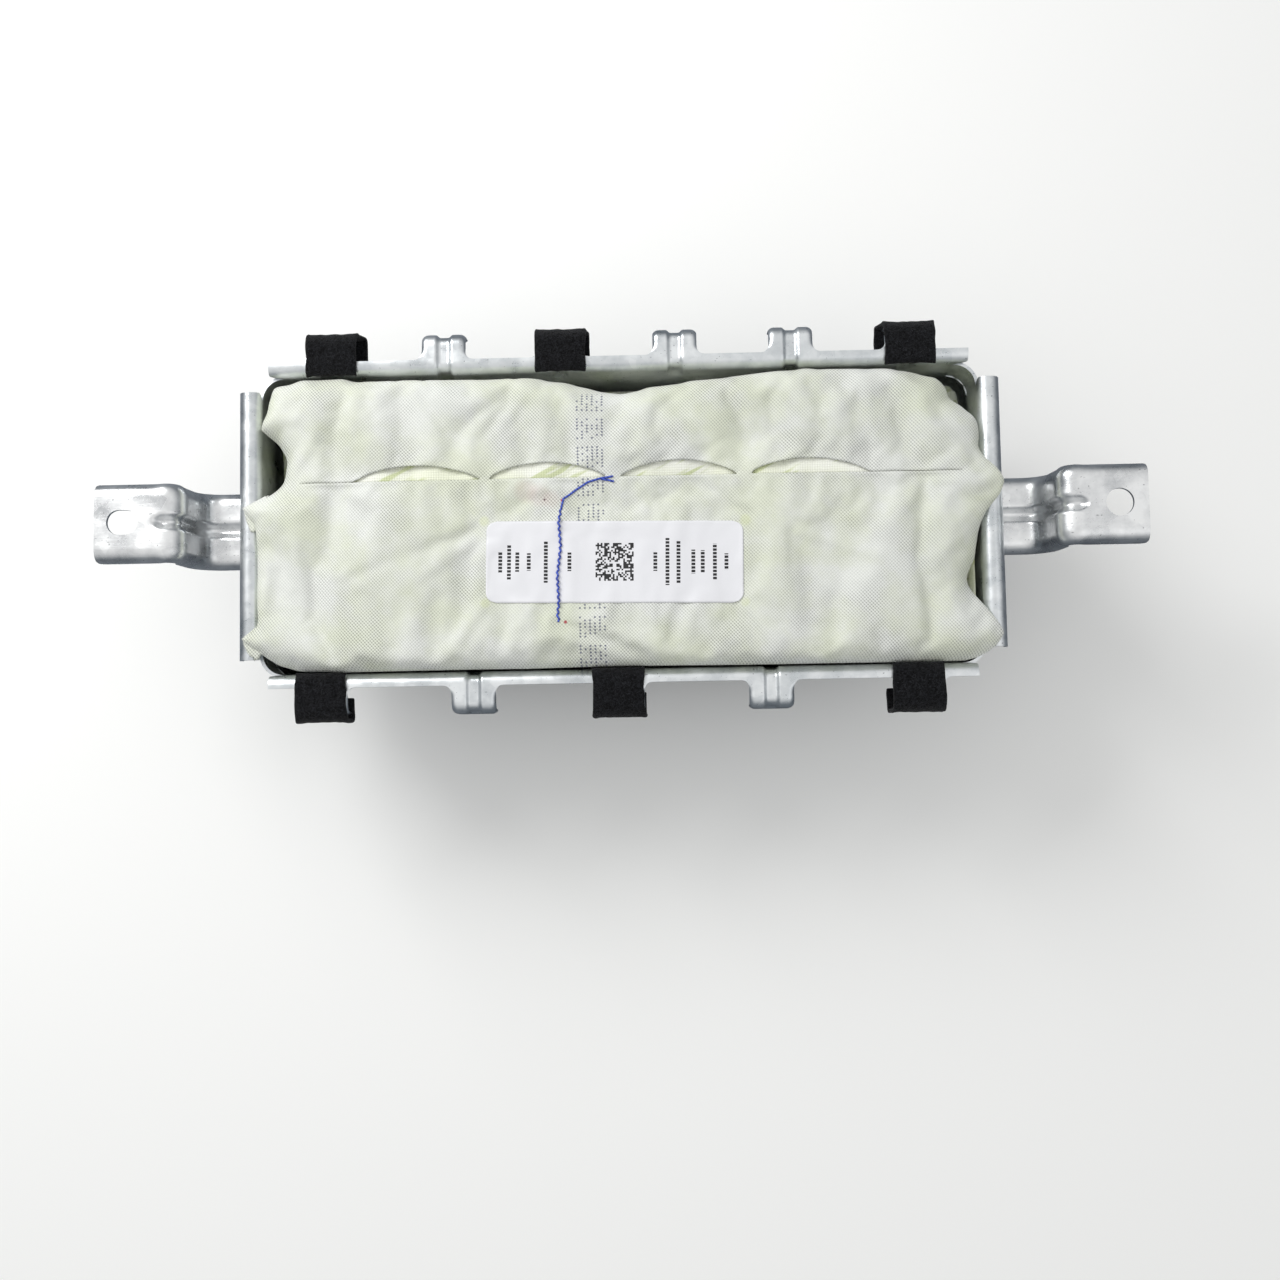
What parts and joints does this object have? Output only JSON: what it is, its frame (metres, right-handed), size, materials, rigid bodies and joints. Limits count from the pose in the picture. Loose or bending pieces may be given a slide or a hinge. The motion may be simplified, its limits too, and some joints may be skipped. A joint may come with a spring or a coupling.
{
  "type": "passenger airbag module",
  "caption": "Passenger airbag module: a hooked steel can with bolt-on end brackets, a disc inflator below it and a wrapped, folded fabric cushion filling its mouth.",
  "frame": {"origin": "centre of the bounding box in X and Y, at the flat base of the inflator", "axes": "+Z out of the mouth of the can, +X along its length, +Y towards the long side with the closer row of hooks"},
  "size_m": [0.38, 0.1458, 0.092],
  "materials": {
    "can_steel": "pressed galvanised sheet, satin",
    "bracket_steel": "pressed zinc-plated sheet, bright",
    "inflator_steel": "drawn steel, satin",
    "fastener_zinc": "zinc-plated",
    "wrap_cloth": "plain-woven, uncoated",
    "cushion_cloth": "plain-woven nylon",
    "felt": "needled felt tape",
    "label_satin": null,
    "sewing_thread": "twisted polyester",
    "wire_mesh": "knitted wire",
    "generant": "pressed, matt",
    "connector_plastic": "moulded"
  },
  "bodies": {
    "root": {"housing": "can_steel", "bracket_left": "bracket_steel", "bracket_right": "bracket_steel", "inflator_lower_shell": "inflator_steel", "inflator_upper_shell": "inflator_steel", "inflator_filter": "wire_mesh", "gas_generant": "generant", "igniter_1": "fastener_zinc", "connector_insert_1": "connector_plastic", "igniter_2": "fastener_zinc", "connector_insert_2": "connector_plastic", "retainer_ring": "inflator_steel", "retainer_stud_1": "fastener_zinc", "flange_nut_1": "fastener_zinc", "retainer_stud_2": "fastener_zinc", "flange_nut_2": "fastener_zinc", "retainer_stud_3": "fastener_zinc", "flange_nut_3": "fastener_zinc", "retainer_stud_4": "fastener_zinc", "flange_nut_4": "fastener_zinc", "bag_mouth_reinforcement": "cushion_cloth", "folded_bag": "cushion_cloth", "bag_wrap": "wrap_cloth", "label": "label_satin", "stitch_thread": "sewing_thread", "felt_pad_far_1": "felt", "felt_pad_far_2": "felt", "felt_pad_far_3": "felt", "felt_pad_near_1": "felt", "felt_pad_near_2": "felt", "felt_pad_near_3": "felt"}
  },
  "joints": []
}
